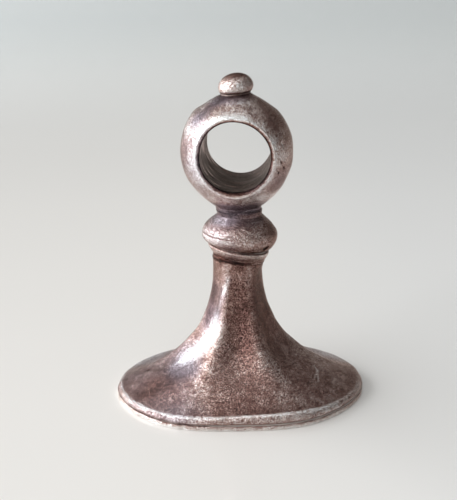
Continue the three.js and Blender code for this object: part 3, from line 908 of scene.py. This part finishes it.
class Shader:
    """A material's node tree, with short names for the few kinds of node used here."""

    def __init__(self, name):
        self.material = bpy.data.materials.new(name)
        self.material.use_nodes = True
        self.tree = self.material.node_tree
        self.surface = self.tree.nodes["Principled BSDF"]
        self.place = self.node("ShaderNodeTexCoord").outputs["Object"]

    def node(self, kind, **settings):
        made = self.tree.nodes.new(kind)
        for key, value in settings.items():
            setattr(made, key, value)
        return made

    def feed(self, socket, value):
        if isinstance(value, bpy.types.NodeSocket):
            self.tree.links.new(value, socket)
        else:
            socket.default_value = value

    def set_surface(self, **values):
        """Feeds sockets of the surface, named with underscores for spaces."""
        for name, value in values.items():
            self.feed(self.surface.inputs[name.replace("_", " ")], value)

    def math(self, operation, *values, clamp=False):
        made = self.node("ShaderNodeMath", operation=operation, use_clamp=clamp)
        for socket, value in zip(made.inputs, values):
            self.feed(socket, value)
        return made.outputs[0]

    def scaled(self, value, factor):
        return self.math("MULTIPLY", value, factor)

    def total(self, *values):
        result = values[0]
        for value in values[1:]:
            result = self.math("ADD", result, value)
        return result

    def weighted(self, layers, weights):
        """The sum of some layers, each times its weight."""
        return self.total(*[self.scaled(layers[name], weight) for name, weight in weights.items()])

    def number(self, name):
        return self.node("ShaderNodeAttribute", attribute_name=name).outputs["Fac"]

    def noise(self, size_mm, detail=3.0, roughness=0.5, seed=0.0, curl=0.0, flatness=1.0):
        """Noise between about -0.5 and 0.5, with grains about size_mm across."""
        mapping = self.node("ShaderNodeMapping")
        self.feed(mapping.inputs["Vector"], self.place)
        mapping.inputs["Location"].default_value = (seed, seed * 0.7, seed * 1.3)
        grains = 1 / (size_mm * MM)
        mapping.inputs["Scale"].default_value = (grains, grains, grains * flatness)
        texture = self.node("ShaderNodeTexNoise")
        self.feed(texture.inputs["Vector"], mapping.outputs["Vector"])
        settings = {"Scale": 1.0, "Detail": detail, "Roughness": roughness, "Distortion": curl}
        for name, value in settings.items():
            texture.inputs[name].default_value = value
        return self.math("SUBTRACT", texture.outputs["Fac"], 0.5)

    def fade(self, value, start, end):
        """0 before the start, rising smoothly to 1 at the end."""
        made = self.node("ShaderNodeMapRange", interpolation_type="SMOOTHSTEP")
        self.feed(made.inputs["Value"], value)
        made.inputs["From Min"].default_value = start
        made.inputs["From Max"].default_value = end
        return made.outputs["Result"]

    def ramp(self, value, stops):
        made = self.node("ShaderNodeValToRGB")
        elements = made.color_ramp.elements
        while len(elements) < len(stops):
            elements.new(0.5)
        for element, (position, colour) in zip(elements, stops):
            element.position = position
            element.color = (*colour, 1)
        self.feed(made.inputs["Fac"], value)
        return made.outputs["Color"]

    def mixed(self, share, first, second):
        made = self.node("ShaderNodeMix", data_type="RGBA")
        colours = [socket for socket in made.inputs if socket.type == "RGBA"]
        self.feed(made.inputs["Factor"], share)
        self.feed(colours[0], first)
        self.feed(colours[1], second)
        return next(socket for socket in made.outputs if socket.type == "RGBA")

    def bumped(self, height, distance_mm):
        made = self.node("ShaderNodeBump")
        made.inputs["Distance"].default_value = distance_mm * MM
        made.inputs["Strength"].default_value = 1.0
        self.feed(made.inputs["Height"], height)
        self.set_surface(Normal=made.outputs["Normal"], Coat_Normal=made.outputs["Normal"])


def tarnished_silver(name, shine, seed, flatness):
    """Silver under a mottled tarnish. Shine is how clean it is on the whole, from 0 to 1."""
    shader = Shader(name)
    speckle = shader.noise(0.21, detail=4, roughness=0.7, seed=seed + 7, curl=2.4)
    rift = shader.math("ABSOLUTE", shader.noise(0.55, detail=2, roughness=0.6, seed=seed + 23, curl=3.0))
    layers = {
        "clouds": shader.noise(3.4, detail=3, roughness=0.5, seed=seed),
        "blots": shader.noise(1.0, detail=4, roughness=0.6, seed=seed + 3, flatness=flatness),
        "speckle": shader.math("MINIMUM", speckle, BRIGHTEST_SPECKLE),
        "hairs": shader.math("MULTIPLY_ADD", rift, -HAIR_SHARPNESS, 1.0, clamp=True),
        "grain": shader.noise(0.2, detail=5, roughness=0.65, seed=seed + 17, curl=2.5),
        "wear": shader.noise(0.9, detail=3, roughness=0.5, seed=seed + 19),
        "wear_and_sheen": shader.number("wear_and_sheen"),
        "grime_and_shade": shader.number("grime_and_shade"),
    }
    clean = shader.total(shader.weighted(layers, CLEANING), shine)
    patches = shader.scaled(shader.noise(4.5, detail=2, seed=seed + 11), 1.2)
    violet = shader.math("ADD", patches, shader.number("blue_film_and_cool_highlight"), clamp=True)
    rough = shader.total(shader.scaled(clean, -0.16), shader.scaled(layers["speckle"], 0.2), 0.32)
    shader.set_surface(
        Base_Color=shader.mixed(violet, shader.ramp(clean, TARNISH), shader.ramp(clean, VIOLET_TARNISH)),
        Metallic=1.0,
        Specular_Tint=(0.95, 0.8, 0.73, 1),
        Roughness=shader.math("MAXIMUM", rough, 0.14),
        Coat_Weight=shader.math("MULTIPLY_ADD", layers["grime_and_shade"], -0.2, 0.13, clamp=True),
        Coat_IOR=1.8,
        Coat_Roughness=0.2,
    )
    shader.bumped(shader.weighted(layers, RELIEF), 0.04)
    return shader.material


def black_solder():
    shader = Shader("blackened_solder")
    crust = shader.noise(0.5, detail=4, roughness=0.7)
    light = shader.total(shader.scaled(crust, 1.2), shader.scaled(shader.number("grime_and_shade"), -0.5), 0.8)
    shader.set_surface(
        Base_Color=shader.ramp(light, SOLDER_CRUST),
        Metallic=0.9,
        Roughness=shader.math("ADD", shader.scaled(crust, 0.4), 0.5),
    )
    shader.bumped(crust, 0.06)
    return shader.material


def glossy_sheet():
    """A pale sheet painted warmest at the front left and greyer to the right and far behind, a painted
    falloff of the window's light.
    """
    shader = Shader("pale_glossy_sheet")
    along = shader.node("ShaderNodeSeparateXYZ")
    shader.feed(along.inputs[0], shader.place)
    far = shader.fade(along.outputs["Y"], 0.0, 500 * MM)
    right = shader.fade(along.outputs["X"], -10 * MM, 30 * MM)
    shader.set_surface(
        Base_Color=shader.mixed(far, shader.mixed(right, SHEET_LEFT, SHEET_RIGHT), SHEET_FAR),
        Roughness=0.16,
        Specular_IOR_Level=0.35,
    )
    return shader.material


# The stage

SHEET = {"half_width": 1500, "front": -600, "back": 1500, "curl": 300, "curl_steps": 24}
WINDOW = {
    "place": (-1350, 50, 560),
    "target": (0, 0, 12),
    "size": (2780, 1000),
    "power": 33.0,
    "colour": (0.94, 0.975, 1.0),
}
# The light of the room, by how far a direction points the bright way
ROOM = {"From Min": 0.2, "From Max": 1.0, "To Min": 0.19, "To Max": 1.0}
ROOM_BRIGHT_WAY = (-0.47, -0.27, 0.84)
ROOM_COLOUR = (0.97, 1.0, 1.0, 1)

# The camera, fitted to the photograph
PHOTO_HEIGHT = 500
CAMERA = {
    "target": (-0.82, 0.0, 14.25),
    "distance": 86.2,
    "azimuth": 0.5,
    "elevation": 18.5,
    "roll": -1.36,
    "focal_pixels": 922,
}


def make_sheet():
    """A sheet that runs far behind the seal and curls up at its back."""
    profile = [(SHEET["front"], 0), (SHEET["back"], 0)]
    for step in range(1, SHEET["curl_steps"] + 1):
        turn = step / SHEET["curl_steps"] * math.pi / 2
        y = SHEET["back"] + SHEET["curl"] * math.sin(turn)
        profile.append((y, SHEET["curl"] * (1 - math.cos(turn))))
    points = [(side * SHEET["half_width"] * MM, y * MM, z * MM) for y, z in profile for side in (-1, 1)]
    faces = [(2 * k, 2 * k + 1, 2 * k + 3, 2 * k + 2) for k in range(len(profile) - 1)]
    mesh = bpy.data.meshes.new("sheet")
    mesh.from_pydata(points, [], faces)
    mesh.polygons.foreach_set("use_smooth", [True] * len(faces))
    mesh.materials.append(glossy_sheet())
    sheet = bpy.data.objects.new("sheet", mesh)
    bpy.context.collection.objects.link(sheet)


def make_window():
    data = bpy.data.lights.new("window", "AREA")
    data.shape = "RECTANGLE"
    data.size, data.size_y = (length * MM for length in WINDOW["size"])
    data.energy = WINDOW["power"]
    data.color = WINDOW["colour"]
    lamp = bpy.data.objects.new("window", data)
    place, target = Vector(WINDOW["place"]), Vector(WINDOW["target"])
    lamp.location = place * MM
    lamp.rotation_euler = (target - place).to_track_quat("-Z", "Y").to_euler()
    bpy.context.collection.objects.link(lamp)


def make_room():
    """A room that is brightest overhead on the window's side and dim all round."""
    world = bpy.data.worlds.new("room")
    world.use_nodes = True
    nodes, links = world.node_tree.nodes, world.node_tree.links
    facing = nodes.new("ShaderNodeVectorMath")
    facing.operation = "DOT_PRODUCT"
    links.new(nodes.new("ShaderNodeTexCoord").outputs["Generated"], facing.inputs[0])
    facing.inputs[1].default_value = Vector(ROOM_BRIGHT_WAY).normalized()
    shade = nodes.new("ShaderNodeMapRange")
    shade.interpolation_type = "SMOOTHSTEP"
    links.new(facing.outputs["Value"], shade.inputs["Value"])
    for name, value in ROOM.items():
        shade.inputs[name].default_value = value
    background = nodes["Background"]
    background.inputs["Color"].default_value = ROOM_COLOUR
    links.new(shade.outputs["Result"], background.inputs["Strength"])
    bpy.context.scene.world = world


def make_camera():
    azimuth, elevation, roll = (math.radians(CAMERA[key]) for key in ("azimuth", "elevation", "roll"))
    level = math.cos(elevation)
    back = Vector((-math.sin(azimuth) * level, -math.cos(azimuth) * level, math.sin(elevation)))
    right = Vector((math.cos(azimuth), -math.sin(azimuth), 0))
    up = right.cross(-back)
    rolled_right = right * math.cos(roll) + up * math.sin(roll)
    rolled_up = up * math.cos(roll) - right * math.sin(roll)
    data = bpy.data.cameras.new("camera")
    data.sensor_width = 36
    data.lens = CAMERA["focal_pixels"] / PHOTO_HEIGHT * data.sensor_width
    data.clip_start = 1 * MM
    camera = bpy.data.objects.new("camera", data)
    axes = Matrix((rolled_right, rolled_up, back)).transposed().to_4x4()
    place = Vector(CAMERA["target"]) + back * CAMERA["distance"]
    camera.matrix_world = Matrix.Translation(place * MM) @ axes
    bpy.context.collection.objects.link(camera)
    bpy.context.scene.camera = camera


# The whole scene

make_camera()
make_sheet()
make_room()
make_window()

pieces = {
    "die": make_die(),
    "handle": make_handle(),
    "collar": make_collar(),
    "knop": make_knop(),
    "bow": make_bow(),
    "bead": make_bead(),
}
SHINE = {"die": 0.68, "handle": 0.38, "collar": 0.55, "knop": 0.44, "bow": 0.55, "bead": 0.62}
LATHE_MARKS = {"collar": 3.5, "knop": 3.5, "bead": 3.5}  # how much flatter blots are on turned pieces
for seed, (key, piece) in enumerate(pieces.items()):
    silver = tarnished_silver(f"tarnished_{key}", SHINE[key], 5.0 * seed, LATHE_MARKS.get(key, 1.0))
    piece.data.materials.append(silver)

lower_joint = {"axis_x": KNOP_X / 2, "bottom": HANDLE_TOP, "top": COLLAR_FOOT, "radius": 2.34}
upper_joint = {"axis_x": KNOP_X, "bottom": COLLAR_TOP, "top": KNOP_FOOT, "radius": 2.7}
bow_joint = {"axis_x": (BOW_X + KNOP_X) / 2, "bottom": KNOP_TOP, "top": BOW_FOOT, "radius": 2.04}
bead_joint = {"axis_x": BOW_X, "bottom": BOW_TOP, "top": BEAD_FOOT, "radius": 1.28}
solders = [
    make_die_solder(),
    make_round_solder("collar_lower_seam", "collar_lower_solder", **lower_joint, seed=81, dirt=0.3),
    make_round_solder("collar_upper_seam", "collar_upper_solder", **upper_joint, seed=82, dirt=0.7),
    make_round_solder("bow_seam", "bow_solder", **bow_joint, seed=83, dirt=0.25, blue_film_and_cool_highlight=0.9),
    make_round_solder("bead_seam", "finial_solder", **bead_joint, seed=84),
]
# Seams that were wiped so clean that they look like the piece beside them
WIPED = {"collar_lower_seam": "collar", "bow_seam": "knop"}
crust = black_solder()
for piece in solders:
    beside = pieces.get(WIPED.get(piece.name))
    material = beside.data.materials[0] if beside else crust
    piece.data.materials.append(material)

bpy.context.scene.view_settings.view_transform = "Standard"
